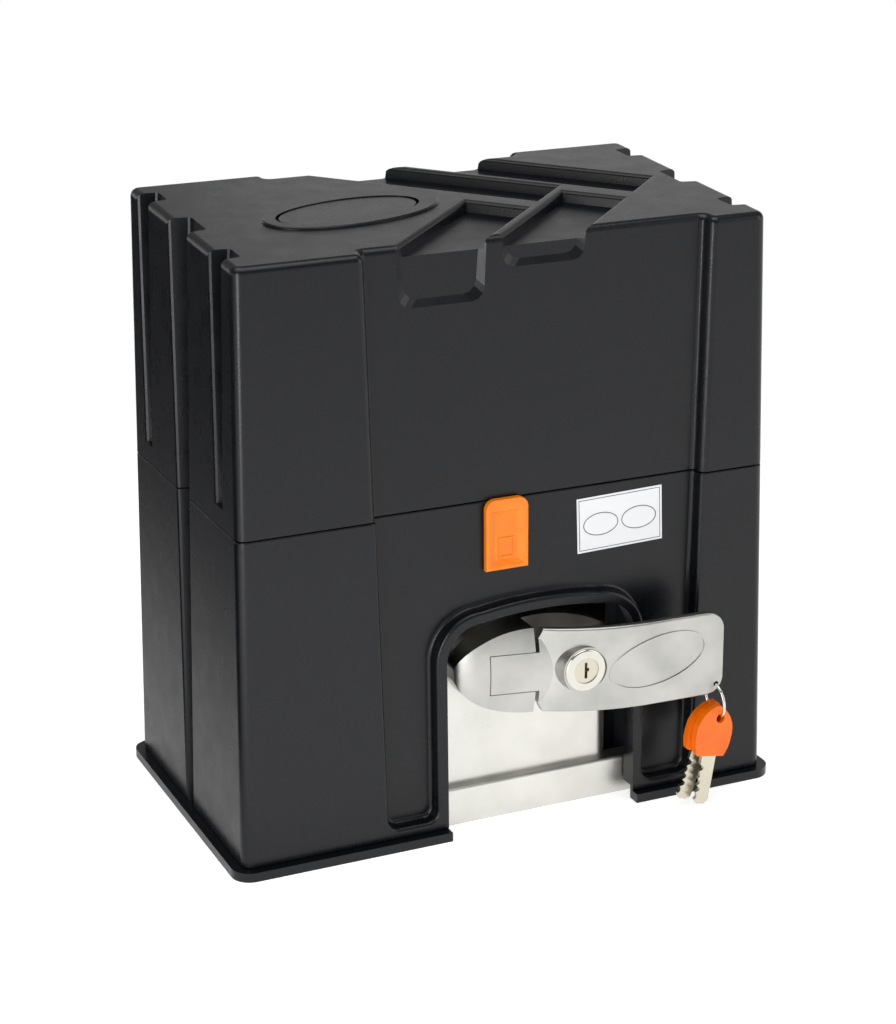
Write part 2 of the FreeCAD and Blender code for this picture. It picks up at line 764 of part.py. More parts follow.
def lid_latch():
    """Sliding latch: a dished finger plate over the seam, a stem through the wall and a bolt behind the lid."""
    z_low = LATCH_TOP - LATCH_HEIGHT
    back = panel_y(z_low) - LATCH_GAP
    front = back - LATCH_THICKNESS
    left = LATCH_X - LATCH_WIDTH / 2
    right = LATCH_X + LATCH_WIDTH / 2
    plate = box(left, right, front, back, z_low, LATCH_TOP)

    def upper_corner(edge):
        return edge.BoundBox.YLength > LATCH_THICKNESS / 2 and edge.CenterOfMass.z > LATCH_TOP - 1

    def front_rim(edge):
        return edge.BoundBox.YMax < front + 0.1

    plate = rounded(plate, LATCH_CORNER, upper_corner)
    plate = rounded(plate, 0.7, front_rim)
    floor = front + LATCH_DISH
    levels = ((front - 0.3, 1.2, 1.2, 6.0), (floor, 5.6, 5.0, 7.2))
    wires = []
    for y, side_inset, low_inset, high_inset in levels:
        low = z_low + low_inset
        high = LATCH_TOP - high_inset
        points = [Vector(left + side_inset, y, low), Vector(right - side_inset, y, low)]
        points += [Vector(right - side_inset, y, high), Vector(left + side_inset, y, high)]
        wires.append(polygon(points))
    plate = plate.cut(loft(wires))
    tab_low = z_low + 6
    tab = box(LATCH_X - 4.4, LATCH_X + 4.4, floor - 0.5, floor + 0.2, tab_low, tab_low + 11)
    tab_inner = box(LATCH_X - 3.4, LATCH_X + 3.4, floor - 1, floor, tab_low + 1, tab_low + 10)
    stem_top = LATCH_TOP - LATCH_STEM_HEIGHT
    stem_low = stem_top - LATCH_STEM_HEIGHT
    stem_left = LATCH_X - LATCH_STEM_WIDTH / 2
    stem_right = LATCH_X + LATCH_STEM_WIDTH / 2
    bolt_front = panel_y(SEAM_HEIGHT + LATCH_BOLT_RISE) + WALL + LATCH_GAP
    stem = box(stem_left, stem_right, back - 0.5, bolt_front + 1, stem_low, stem_top)
    bolt = box(stem_left, stem_right, bolt_front, bolt_front + 2.5, stem_low, SEAM_HEIGHT + LATCH_BOLT_RISE)
    return joined([plate, tab.cut(tab_inner), stem, bolt])


# ------------------------------------------------------------------ gearbox

def gearcase_outline(y):
    """Arched front outline of the casting."""
    def arc_point(x):
        rise = math.sqrt(GEARCASE_ARC ** 2 - (x - GEARCASE_ARC_X) ** 2)
        return Vector(x, y, GEARCASE_ARC_Z + rise)

    left = arc_point(GEARCASE_LEFT)
    right = arc_point(GEARCASE_RIGHT)
    left_foot = Vector(GEARCASE_LEFT, y, 0)
    right_foot = Vector(GEARCASE_RIGHT, y, 0)
    edges = [
        Part.LineSegment(right_foot, left_foot),
        Part.LineSegment(left_foot, left),
        Part.Arc(left, arc_point(GEARCASE_ARC_X), right),
        Part.LineSegment(right, right_foot),
    ]
    return Part.Wire([edge.toShape() for edge in edges])


def gearbox_housing():
    """Aluminium casting: foot plate, front rail, arched gear case and motor flange."""
    plate = Part.Face(
        rounded_rectangle(FOOT_LONG / 2, FOOT_DEEP / 2, FOOT_CORNER, 0, 0, 0)
    ).extrude(Vector(0, 0, FOOT_PLATE))
    rail = box(
        ARCH_X - RAIL_LONG / 2, ARCH_X + RAIL_LONG / 2, RAIL_FRONT, GEARCASE_FRONT + GEARCASE_WALL, 0, RAIL_HEIGHT
    )

    def rail_edge(edge):
        middle = edge.CenterOfMass
        return abs(middle.y - RAIL_FRONT) < 0.1 and middle.z > RAIL_HEIGHT / 4

    rail = rounded(rail, 1.5, rail_edge)
    case = Part.Face(gearcase_outline(GEARCASE_FRONT)).extrude(Vector(0, GEARCASE_BACK - GEARCASE_FRONT, 0))

    def case_corner(edge):
        middle = edge.CenterOfMass
        upright = edge.BoundBox.ZLength > GEARCASE_ARC / 2 and edge.BoundBox.XLength < 1
        return upright and abs(middle.y - GEARCASE_FRONT) < 0.1

    case = rounded(case, 7.0, case_corner)
    tower = disc(MOTOR_BEARING_RADIUS + GEARCASE_WALL, MOTOR_BASE - 2, WORM_X, CROWN_Y, 0)
    flange = disc(MOTOR_RADIUS, MOTOR_FLANGE, WORM_X, CROWN_Y, MOTOR_BASE - MOTOR_FLANGE)
    body = joined([plate, rail, case, tower, flange])
    crown_room = MODULE * (CROWN_TEETH / 2 + 1) + 2.5
    room_front = CROWN_Y - CROWN_FACE / 2 - 2
    room = disc(crown_room, GEARCASE_BACK - room_front + 1, CROWN_X, room_front, CROWN_Z, ALONG_Y)
    front_seat = disc(BEARING_RADIUS, BEARING_WIDTH + 1, CROWN_X, room_front - BEARING_WIDTH, CROWN_Z, ALONG_Y)
    worm_room = disc(
        WORM_PITCH_RADIUS + MODULE + 2, MOTOR_BASE - 2 * GEARCASE_WALL, WORM_X, CROWN_Y, 2 * GEARCASE_WALL
    )
    lower_seat = disc(MOTOR_BEARING_RADIUS, MOTOR_BEARING_WIDTH, WORM_X, CROWN_Y, 2 * GEARCASE_WALL)
    upper_seat = disc(
        MOTOR_BEARING_RADIUS, MOTOR_BEARING_WIDTH + 1, WORM_X, CROWN_Y, MOTOR_BASE - MOTOR_BEARING_WIDTH
    )
    cuts = [room, front_seat, worm_room, lower_seat, upper_seat]
    for sx in (-1, 1):
        for sy in (-1, 1):
            cuts.append(
                disc(FIXING_RADIUS, 2 * FOOT_PLATE, sx * FIXING_SPACING_X / 2, sy * FIXING_SPACING_Y / 2, -1)
            )
    cuts.append(disc(CABLE_RADIUS, 2 * FOOT_PLATE, CABLE_X, CABLE_Y, -1))
    for side, y in lug_places():
        cuts.append(disc(LUG_SCREW_RADIUS, FOOT_PLATE, side * LUG_SCREW_X, y, 2))
    return body.cut(cuts)


def gearbox_rear_cover():
    """Rear cover with the long bearing hub that carries the output shaft."""
    plate = Part.Face(gearcase_outline(GEARCASE_BACK)).extrude(Vector(0, GEARCASE_WALL, 0))
    plate = plate.cut(box(-BODY_WIDTH, BODY_WIDTH, -BODY_WIDTH, BODY_WIDTH, -1, FOOT_PLATE))
    hub_long = PINION_Y - GEARCASE_BACK - 6
    hub = disc(HUB_RADIUS, hub_long, CROWN_X, GEARCASE_BACK, CROWN_Z, ALONG_Y)
    bore = disc(SHAFT_RADIUS + 3, 2 * hub_long, CROWN_X, 0, CROWN_Z, ALONG_Y)
    seat = disc(
        BEARING_RADIUS, BEARING_WIDTH + 1, CROWN_X, GEARCASE_BACK + hub_long - BEARING_WIDTH, CROWN_Z, ALONG_Y
    )
    return plate.fuse(hub).cut([bore, seat]).removeSplitter()


def ball_bearing(outer, inner, width, x, y, z, axis):
    """Sealed ball bearing: one ring with a shallow shield groove on each face."""
    ring = tube(outer, inner, width, x, y, z, axis)
    middle = (outer + inner) / 2
    wide = (outer - inner) / 5
    for at in (0.0, width - 0.6):
        start = Vector(x, y, z) + axis * at
        ring = ring.cut(tube(middle + wide, middle - wide, 0.6, start.x, start.y, start.z, axis))
    return ring


def gear_blank(teeth, module, face, slack):
    """Straight-toothed wheel about Z, with a tooth gap on the X axis."""
    outer = module * (teeth / 2 + 1)
    root = module * (teeth / 2 - 1.25)
    pitch = module * teeth / 2
    tooth = math.pi / teeth - slack / pitch
    points = []
    for index in range(teeth):
        middle = 2 * math.pi * (index + 0.5) / teeth
        spread = ((root, 1.35), (pitch, 1.0), (outer, 0.52))
        for radius, share in spread:
            angle = middle - tooth / 2 * share
            points.append(Vector(radius * math.cos(angle), radius * math.sin(angle), 0))
        for radius, share in reversed(spread):
            angle = middle + tooth / 2 * share
            points.append(Vector(radius * math.cos(angle), radius * math.sin(angle), 0))
    return prism(points, Vector(0, 0, face))


def crown_wheel():
    """Bronze wheel driven by the worm."""
    wheel = gear_blank(CROWN_TEETH, MODULE, CROWN_FACE, TOOTH_SLACK)
    wheel.rotate(Vector(0, 0, 0), Vector(1, 0, 0), -90)
    wheel.translate(Vector(CROWN_X, CROWN_Y - CROWN_FACE / 2, CROWN_Z))
    bore = disc(SHAFT_RADIUS, 2 * CROWN_FACE, CROWN_X, CROWN_Y - CROWN_FACE, CROWN_Z, ALONG_Y)
    return wheel.cut(bore)


def output_shaft():
    """Steel shaft through the crown wheel, out to the rack pinion."""
    front = CROWN_Y - CROWN_FACE / 2 - 2 - BEARING_WIDTH
    back = PINION_Y + PINION_FACE + 6
    return disc(SHAFT_RADIUS, back - front, CROWN_X, front, CROWN_Z, ALONG_Y)


def output_pinion():
    """Steel pinion that drives the gate's rack."""
    pinion = gear_blank(PINION_TEETH, PINION_MODULE, PINION_FACE, 0.2)
    pinion.rotate(Vector(0, 0, 0), Vector(1, 0, 0), -90)
    pinion.translate(Vector(CROWN_X, PINION_Y, CROWN_Z))
    collar = disc(SHAFT_RADIUS + 6, PINION_FACE + 3, CROWN_X, PINION_Y - 3, CROWN_Z, ALONG_Y)
    bore = disc(SHAFT_RADIUS, 3 * PINION_FACE, CROWN_X, PINION_Y - PINION_FACE, CROWN_Z, ALONG_Y)
    return pinion.fuse(collar).cut(bore)


# ------------------------------------------------------------------ motor

def worm_shaft():
    """Motor shaft with the worm cut on its lower end."""
    bottom = 2 * GEARCASE_WALL + 1
    top = MOTOR_BASE + MOTOR_HEIGHT + SHIELD_HEIGHT - 6
    shaft = disc(ROTOR_SHAFT_RADIUS, top - bottom, WORM_X, CROWN_Y, bottom)
    return shaft


def motor_shell():
    """Aluminium motor body with cooling fins."""
    shell = tube(MOTOR_RADIUS - FIN_DEPTH, MOTOR_RADIUS - FIN_DEPTH - MOTOR_SHELL, MOTOR_HEIGHT, WORM_X, CROWN_Y, MOTOR_BASE)
    fin = box(MOTOR_RADIUS - FIN_DEPTH - 1, MOTOR_RADIUS, -1, 1, 3, MOTOR_HEIGHT - 3)
    fins = []
    for index in range(FIN_COUNT):
        copy = fin.copy()
        copy.rotate(Vector(0, 0, 0), UP, 360 * index / FIN_COUNT)
        copy.translate(Vector(WORM_X, CROWN_Y, MOTOR_BASE))
        fins.append(copy)
    return shell.fuse(fins).removeSplitter()


def stator_core():
    """Laminated stator with its windings."""
    outer = MOTOR_RADIUS - FIN_DEPTH - MOTOR_SHELL
    return tube(outer, ROTOR_RADIUS + AIR_GAP, MOTOR_HEIGHT - 20, WORM_X, CROWN_Y, MOTOR_BASE + 10)


def rotor_core():
    """Squirrel-cage rotor."""
    return tube(ROTOR_RADIUS, ROTOR_SHAFT_RADIUS, MOTOR_HEIGHT - 24, WORM_X, CROWN_Y, MOTOR_BASE + 12)


def motor_end_shield():
    """Upper end shield with the top bearing seat."""
    z = MOTOR_BASE + MOTOR_HEIGHT
    shield = disc(MOTOR_RADIUS - FIN_DEPTH, SHIELD_HEIGHT, WORM_X, CROWN_Y, z)
    room = disc(ROTOR_RADIUS, SHIELD_HEIGHT - 5 - MOTOR_BEARING_WIDTH, WORM_X, CROWN_Y, z)
    seat = disc(MOTOR_BEARING_RADIUS, SHIELD_HEIGHT - 5, WORM_X, CROWN_Y, z)
    holes = [disc(BOLT_RADIUS, SHIELD_HEIGHT - 2, x, y, z + 2) for x, y in motor_bolt_places()]
    return shield.cut([room, seat] + holes)


def encoder_cap():
    """Sensor cap on top of the motor, with its cable outlet."""
    z = MOTOR_BASE + MOTOR_HEIGHT + SHIELD_HEIGHT
    cap = disc(CAP_RADIUS, CAP_HEIGHT, WORM_X, CROWN_Y, z)
    cap = cap.makeFillet(2.0, [edge for edge in cap.Edges if edge.CenterOfMass.z > z + CAP_HEIGHT - 0.1])
    outlet = box(WORM_X + CAP_RADIUS - 4, WORM_X + CAP_RADIUS + 6, CROWN_Y - 5, CROWN_Y + 5, z, z + 6)
    return cap.fuse(outlet).removeSplitter()


def motor_bolt_places():
    """Centres of the four long motor bolts."""
    places = []
    for index in range(4):
        angle = math.radians(45 + 90 * index)
        places.append((WORM_X + BOLT_CIRCLE * math.cos(angle), CROWN_Y + BOLT_CIRCLE * math.sin(angle)))
    return places


def motor_bolts():
    """Hexagon-headed bolts through the end shield."""
    top = MOTOR_BASE + MOTOR_HEIGHT + SHIELD_HEIGHT
    bolts = []
    for x, y in motor_bolt_places():
        corners = []
        for step in range(6):
            angle = math.radians(60 * step)
            corners.append(Vector(x + BOLT_HEAD * math.cos(angle), y + BOLT_HEAD * math.sin(angle), top))
        head = prism(corners, Vector(0, 0, 0.7 * BOLT_HEAD))
        bolts.append(head.fuse(disc(BOLT_RADIUS, SHIELD_HEIGHT - 2, x, y, top - SHIELD_HEIGHT + 2)))
    return Part.makeCompound(bolts)


# ------------------------------------------------------------------ control unit

def board_bracket():
    """Plastic carrier that stands on the foot plate and holds the board upright."""
    tray = box(BOARD_LEFT - 2, BOARD_RIGHT + 2, BOARD_Y, BOARD_Y + BRACKET_THICKNESS, BOARD_LOW - 3, BOARD_HIGH + 2)
    window = box(
        BOARD_LEFT + 14, BOARD_RIGHT - 14, BOARD_Y - 1, BOARD_Y + 2 * BRACKET_THICKNESS, BOARD_LOW + 30, BOARD_HIGH - 14
    )
    legs = []
    for x in (BOARD_LEFT + 36, BOARD_RIGHT - 12):
        leg = box(x, x + 10, BOARD_Y, BOARD_Y + 4 * BRACKET_THICKNESS, FOOT_PLATE, BOARD_LOW)
        legs.append(leg)
    return joined([tray.cut(window)] + legs)


def control_board():
    """Circuit board with its relays, chips and plug-in card."""
    board = box(BOARD_LEFT, BOARD_RIGHT, BOARD_Y - BOARD_THICKNESS, BOARD_Y, BOARD_LOW, BOARD_HIGH)
    face = BOARD_Y - BOARD_THICKNESS
    parts = [board]
    for index in range(3):
        x = BOARD_LEFT + 8 + 26 * index
        parts.append(box(x, x + 19, face - 11, face + 0.5, BOARD_LOW + 24, BOARD_LOW + 40))
    parts.append(box(BOARD_LEFT + 30, BOARD_LEFT + 52, face - 2, face + 0.5, BOARD_LOW + 56, BOARD_LOW + 78))
    parts.append(box(BOARD_LEFT + 62, BOARD_LEFT + 80, face - 3, face + 0.5, BOARD_LOW + 60, BOARD_LOW + 72))
    parts.append(box(BOARD_LEFT + 6, BOARD_LEFT + 24, face - 9, face + 0.5, BOARD_HIGH - 40, BOARD_HIGH - 8))
    return joined(parts)


def terminal_blocks():
    """Row of screw terminals along the board's lower edge."""
    face = BOARD_Y - BOARD_THICKNESS
    block = box(BOARD_LEFT + 4, BOARD_RIGHT - 4, face - 10, face, BOARD_LOW + 3, BOARD_LOW + 15)
    cuts = []
    count = int((BOARD_RIGHT - BOARD_LEFT - 12) / TERMINAL_PITCH)
    for index in range(count):
        x = BOARD_LEFT + 8 + TERMINAL_PITCH * index
        cuts.append(box(x - 2, x + 2, face - 8, face - 3, BOARD_LOW + 1, BOARD_LOW + 9))
        cuts.append(disc(1.8, 3, x, face - 10.5, BOARD_LOW + 11, ALONG_Y))
    return block.cut(cuts)


def transformer():
    """Mains transformer on the foot plate: laminated frame and a wound coil."""
    x0, x1, y0, y1 = TRANSFORMER_LEFT, TRANSFORMER_LEFT + 36, -20.0, 20.0
    core = box(x0 + 8, x1 - 8, y0, y1, FOOT_PLATE, FOOT_PLATE + 31)
    coil = box(x0, x1, y0 + 8, y1 - 8, FOOT_PLATE + 5, FOOT_PLATE + 26)

    def upright(edge):
        return edge.BoundBox.ZLength > 15

    return core.fuse(rounded(coil, 4.0, upright)).removeSplitter()


def capacitor():
    """Motor capacitor, standing on the foot plate."""
    can = disc(CAPACITOR_RADIUS, CAPACITOR_HEIGHT, CAPACITOR_X, CAPACITOR_Y, FOOT_PLATE)
    top = FOOT_PLATE + CAPACITOR_HEIGHT
    can = can.makeFillet(2.0, [edge for edge in can.Edges if edge.CenterOfMass.z > top - 0.1])
    tags = [box(CAPACITOR_X + dx - 0.4, CAPACITOR_X + dx + 0.4, CAPACITOR_Y - 3, CAPACITOR_Y + 3, top - 1, top + 8) for dx in (-6, 6)]
    return can.fuse(tags).removeSplitter()


# ------------------------------------------------------------------ manual release

def crest_y(x):
    """Depth of the fork's and tongue's crest line: a slanting straight run, then the rounded nose."""
    start = TONGUE_END
    crest = LEVER_CREST + LEVER_CREST_SLOPE * (x - FORK_END)
    if x < start:
        run = start - FORK_NOSE
        past = start - x
        crest += 9.0 * (1 - math.sqrt(1 - (past / run) ** 2 * 0.93))
    return crest


def crown_section(x, half, back):
    """Upright section: a shallow front arc, closed by a flat back."""
    crest = crest_y(x)
    edge = crest + half * half / (2 * FORK_RADIUS)
    upper = Vector(x, edge, LEVER_Z + half)
    lower = Vector(x, edge, LEVER_Z - half)
    upper_back = Vector(x, back, LEVER_Z + half)
    lower_back = Vector(x, back, LEVER_Z - half)
    edges = [
        Part.Arc(lower, Vector(x, crest, LEVER_Z), upper).toShape(),
        Part.LineSegment(upper, upper_back).toShape(),
        Part.LineSegment(upper_back, lower_back).toShape(),
        Part.LineSegment(lower_back, lower).toShape(),
    ]
    return Part.Wire(edges)


def release_fork():
    """Cast fork on the gear case that carries the lever's hinge pin."""
    sections = []
    count = 7
    for index in range(count):
        angle = math.radians(82 * index / (count - 1))
        x = FORK_END - (FORK_END - FORK_NOSE) * math.sin(angle)
        half = FORK_HALF * math.cos(angle)
        sections.append(crown_section(x, half, GEARCASE_FRONT))
    fork = loft(sections, False)
    gap = TONGUE_HALF + SLOT_GAP
    slot = box(TONGUE_END - SLOT_GAP, 2 * FORK_END, -BODY_DEPTH, GEARCASE_FRONT + 1, LEVER_Z - gap, LEVER_Z + gap)
    pin = disc(HINGE_PIN_RADIUS, 2 * HINGE_PIN_HALF, HINGE_X, HINGE_Y, LEVER_Z - HINGE_PIN_HALF)
    return fork.cut([slot, pin])


def hinge_pin():
    """Steel pin through the fork and the lever's tongue."""
    return disc(HINGE_PIN_RADIUS, 2 * HINGE_PIN_HALF, HINGE_X, HINGE_Y, LEVER_Z - HINGE_PIN_HALF)


def lever_profile(front_shift, back_shift):
    """Plan of the lever arm between two surfaces parallel to its front."""
    middle_x = 38.0
    middle_y = -100.8
    bend_x = 68.0
    bend_y = -106.2

    def line(shift, left):
        return [
            Vector(left, LEVER_FRONT_LEFT + shift, 0),
            Vector(middle_x, middle_y + shift, 0),
            Vector(bend_x, bend_y + shift, 0),
            Vector(LEVER_RIGHT, LEVER_FRONT_RIGHT + shift, 0),
        ]

    front = line(front_shift, LEVER_LEFT)
    back = line(back_shift, LEVER_LEFT)
    edges = [
        Part.Arc(front[0], front[1], front[2]),
        Part.LineSegment(front[2], front[3]),
        Part.LineSegment(front[3], back[3]),
        Part.LineSegment(back[3], back[2]),
        Part.Arc(back[2], back[1], back[0]),
        Part.LineSegment(back[0], front[0]),
    ]
    return Part.Wire([edge.toShape() for edge in edges])


def lever_band(front_shift, back_shift):
    """Block with the lever's plan, as tall as the arm."""
    face = Part.Face(lever_profile(front_shift, back_shift))
    band = face.extrude(Vector(0, 0, 2 * LEVER_HALF))
    band.translate(Vector(0, 0, LEVER_Z - LEVER_HALF))
    return band


def oval_prism(long_half, short_half):
    """Tilted oval block across the lever arm."""
    oval = Part.Face(Part.Wire([Part.Ellipse(Vector(0, 0, 0), long_half, short_half).toShape()]))
    block = oval.extrude(Vector(0, 0, 60))
    block.rotate(Vector(0, 0, 0), UP, OVAL_TILT)
    block = stand_up(block, -60)
    block.translate(Vector(OVAL_X, 0, OVAL_Z))
    return block


def release_lever():
    """Cast lever: a curved arm, a domed root, the tongue in the fork and a boss for the lock."""
    arm = lever_band(0, LEVER_THICKNESS)

    def far_corner(edge):
        middle = edge.CenterOfMass
        return middle.x > LEVER_RIGHT - 1 and edge.BoundBox.YLength > 1 and edge.BoundBox.ZLength < 1

    arm = rounded(arm, LEVER_CORNER, far_corner)

    def outer_rim(edge):
        middle = edge.CenterOfMass
        level = edge.BoundBox.ZLength < 0.01 and edge.BoundBox.XLength > 2
        curved = edge.BoundBox.ZLength > 1 and middle.x > LEVER_RIGHT - LEVER_CORNER
        return (level or curved) and edge.Length > 3

    arm = rounded(arm, 1.2, outer_rim)
    root = loft([crown_section(x, DOME_HALF, TONGUE_BACK) for x in (TONGUE_END, LEVER_LEFT + 18)])
    cheeks = []
    for side in (-1, 1):
        low, high = sorted((LEVER_Z + side * TONGUE_HALF, LEVER_Z + side * 2 * LEVER_HALF))
        cheeks.append(box(2 * TONGUE_END, LEVER_LEFT, 2 * HINGE_Y, 0, low, high))
    root = root.cut(cheeks + [lever_band(LEVER_THICKNESS, 60)])
    bevels = []
    for side in (-1, 1):
        corner = [
            Vector(LEVER_LEFT - 1, 0, LEVER_Z + side * DOME_HALF),
            Vector(LEVER_LEFT, 0, LEVER_Z + side * DOME_HALF),
            Vector(LEVER_LEFT + LEVER_BEVEL, 0, LEVER_Z + side * (LEVER_HALF + 0.1)),
            Vector(LEVER_LEFT - 1, 0, LEVER_Z + side * (LEVER_HALF + 0.1)),
        ]
        bevels.append(prism(corner, Vector(0, -BODY_DEPTH, 0)))
    arm = arm.cut(bevels)
    boss_back = Vector(LOCK_X, LOCK_FRONT + 11, LOCK_Z)
    boss = Part.makeCone(BEZEL_RADIUS + 2.4, BEZEL_RADIUS + 0.9, 10, boss_back, -ALONG_Y)
    lever = joined([arm, root, boss])
    ring = oval_prism(OVAL_LONG, OVAL_SHORT).cut(oval_prism(OVAL_LONG - OVAL_RIM, OVAL_SHORT - OVAL_RIM))
    lever = lever.fuse(ring.common(lever_band(-OVAL_RISE, 1)))
    barrel = disc(BARREL_RADIUS, 60, LOCK_X, LOCK_FRONT, LOCK_Z, ALONG_Y)
    bezel_seat = disc(BEZEL_RADIUS, 6.4, LOCK_X, LOCK_FRONT - 5, LOCK_Z, ALONG_Y)
    ring_hole = disc(RING_HOLE, 60, RING_X, LOCK_FRONT - 10, RING_TOP, ALONG_Y)
    pin = disc(HINGE_PIN_RADIUS + RUNNING_FIT, 4 * LEVER_HALF, HINGE_X, HINGE_Y, LEVER_Z - 2 * LEVER_HALF)
    return lever.cut([barrel, bezel_seat, ring_hole, pin])


def lock_barrel():
    """Chromed lock body with its bezel, pressed into the lever."""
    bezel = disc(BEZEL_RADIUS, 1.4, LOCK_X, LOCK_FRONT, LOCK_Z, ALONG_Y)

    def front_rim(edge):
        return abs(edge.CenterOfMass.y - LOCK_FRONT) < 0.1 and edge.Length > 4 * BEZEL_RADIUS

    bezel = bezel.makeFillet(1.2, [edge for edge in bezel.Edges if front_rim(edge)])
    body = disc(BARREL_RADIUS, BARREL_BACK - LOCK_FRONT, LOCK_X, LOCK_FRONT, LOCK_Z, ALONG_Y)
    bore = disc(PLUG_RADIUS + RUNNING_FIT, 60, LOCK_X, LOCK_FRONT - 1, LOCK_Z, ALONG_Y)
    return bezel.fuse(body).cut(bore).removeSplitter()


def lock_plug():
    """Lock plug with its keyway, and the cam on its back end."""
    plug = disc(PLUG_RADIUS, BARREL_BACK + 1 - LOCK_FRONT - 0.6, LOCK_X, LOCK_FRONT + 0.6, LOCK_Z, ALONG_Y)
    keyway = box(LOCK_X - 0.8, LOCK_X + 0.8, LOCK_FRONT - 1, LOCK_FRONT + 6, LOCK_Z - 4.4, LOCK_Z + 4.4)
    ward = box(LOCK_X - 0.8, LOCK_X + 1.8, LOCK_FRONT - 1, LOCK_FRONT + 6, LOCK_Z - 0.6, LOCK_Z + 1.2)
    return plug.cut([keyway, ward])


def lock_cam():
    """Flat cam turned by the plug."""
    y = BARREL_BACK + 1
    half = CAM_WIDTH / 2
    blade = box(LOCK_X - half, LOCK_X + half, y, y + CAM_THICKNESS, LOCK_Z, LOCK_Z + CAM_LONG)
    round_end = disc(half, CAM_THICKNESS, LOCK_X, y, LOCK_Z + CAM_LONG, ALONG_Y)
    hub = disc(PLUG_RADIUS + 1, CAM_THICKNESS, LOCK_X, y, LOCK_Z, ALONG_Y)
    return joined([blade, round_end, hub])


# ------------------------------------------------------------------ keys

def key_ring():
    """Ring through the lever's corner, hanging a little to one side."""
    centre = Vector(RING_X + RING_RADIUS * RING_SIDE, RING_Y, RING_TOP - RING_RADIUS * RING_DOWN)
    return Part.makeTorus(RING_RADIUS, RING_WIRE, centre, Vector(RING_DOWN, 0, RING_SIDE))


def key_bow_outline(y):
    """Moulded bow: a round head that widens to a flat foot."""
    eye_z = EYE_Z
    top = eye_z + KEY_EYE_DROP
    low = top - KEY_BOW_HEIGHT
    centre = EYE_X - KEY_EYE_SIDE
    half = KEY_BOW_WIDTH / 2
    waist = low + KEY_BOW_HEIGHT * 0.36
    foot = half * 0.74
    edges = [
        Part.LineSegment(Vector(centre - foot, y, low), Vector(centre + foot, y, low)),
        Part.Arc(
            Vector(centre + foot, y, low),
            Vector(centre + half * 0.94, y, (low + waist) / 2),
            Vector(centre + half, y, waist),
        ),
        Part.Arc(
            Vector(centre + half, y, waist),
            Vector(centre + half * 0.62, y, top - KEY_BOW_HEIGHT * 0.16),
            Vector(centre, y, top),
        ),
        Part.Arc(
            Vector(centre, y, top),
            Vector(centre - half * 0.62, y, top - KEY_BOW_HEIGHT * 0.16),
            Vector(centre - half, y, waist),
        ),
        Part.Arc(
            Vector(centre - half, y, waist),
            Vector(centre - half * 0.94, y, (low + waist) / 2),
            Vector(centre - foot, y, low),
        ),
    ]
    return Part.Wire([edge.toShape() for edge in edges])


def key_bow(y, lean):
    """Orange key head."""
    bow = Part.Face(key_bow_outline(y - KEY_BOW_THICKNESS / 2)).extrude(Vector(0, KEY_BOW_THICKNESS, 0))
    eye = disc(KEY_EYE_RADIUS, 2 * KEY_BOW_THICKNESS, EYE_X, y - KEY_BOW_THICKNESS, EYE_Z, ALONG_Y)
    bow = bow.cut(eye)
    return turned(bow, EYE_X, y, EYE_Z, ALONG_Y, lean)


def key_blade(y, lean):
    """Steel key blade with its bitting on one edge and a groove along the other."""
    low = EYE_Z + KEY_EYE_DROP - KEY_BOW_HEIGHT
    tip = low - KEY_BLADE_LONG
    left = EYE_X - KEY_EYE_SIDE - KEY_BLADE_WIDTH / 2
    right = left + KEY_BLADE_WIDTH
    cuts = 5
    pitch = KEY_BLADE_LONG * 0.72 / cuts
    points = [Vector(left, y, low), Vector(right, y, low), Vector(right, y, tip + 2), Vector(right - 2.5, y, tip)]
    points.append(Vector(left + 2, y, tip))
    z = tip + 2.5
    for index in range(cuts):
        depth = 1.0 + 1.2 * ((index * 2) % 3) / 2
        points.append(Vector(left, y, z))
        points.append(Vector(left + depth, y, z + pitch / 3))
        points.append(Vector(left + depth, y, z + 2 * pitch / 3))
        z += pitch
    points.append(Vector(left, y, z))
    for point in points:
        point.y = y - KEY_BLADE_THICKNESS / 2
    blade = prism(points, Vector(0, KEY_BLADE_THICKNESS, 0))
    return turned(blade, EYE_X, y, EYE_Z, ALONG_Y, lean)


# ------------------------------------------------------------------ all pieces

FRONT_KEY_Y = RING_Y - KEY_PITCH / 2
BACK_KEY_Y = RING_Y + KEY_PITCH / 2
BEARING_FRONT_Y = CROWN_Y - CROWN_FACE / 2 - 2 - BEARING_WIDTH
BEARING_BACK_Y = PINION_Y - 6 - BEARING_WIDTH

